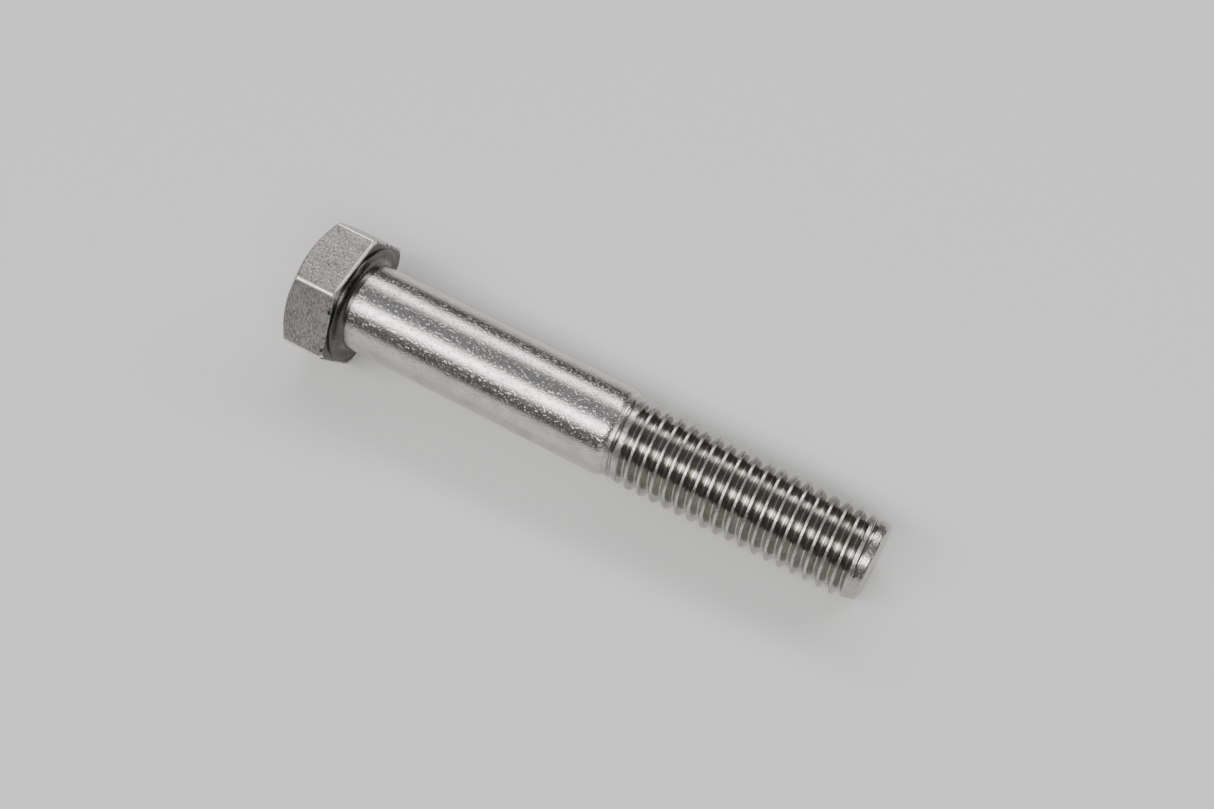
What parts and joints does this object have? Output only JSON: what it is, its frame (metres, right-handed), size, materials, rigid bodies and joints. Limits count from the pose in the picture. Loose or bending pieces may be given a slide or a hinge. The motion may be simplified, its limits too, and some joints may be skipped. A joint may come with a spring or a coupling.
{
  "type": "hex head bolt",
  "caption": "Hexagon head bolt in plain stainless steel with a washer face, a long plain shank, a rolled coarse right-hand thread and a coned point.",
  "frame": {"origin": "middle of the bearing face under the head, on the bolt's axis", "axes": "+X along the axis from the head towards the point, +Z square to the upper wrench flat, +Y level, completing the right-handed set"},
  "size_m": [0.0965, 0.0232, 0.0204],
  "materials": {
    "head": "cold-headed and trimmed stainless steel, satin flats with burnished edges",
    "washer_face": "turned stainless steel, fine circular marks",
    "shank": "bright drawn stainless steel with small handling marks",
    "thread": "rolled thread in stainless steel, polished flanks"
  },
  "bodies": {
    "root": {"hex_head": "head", "washer_face": "washer_face", "shank": "shank", "thread_runout": "thread", "thread": "thread", "point": "thread"}
  },
  "joints": []
}
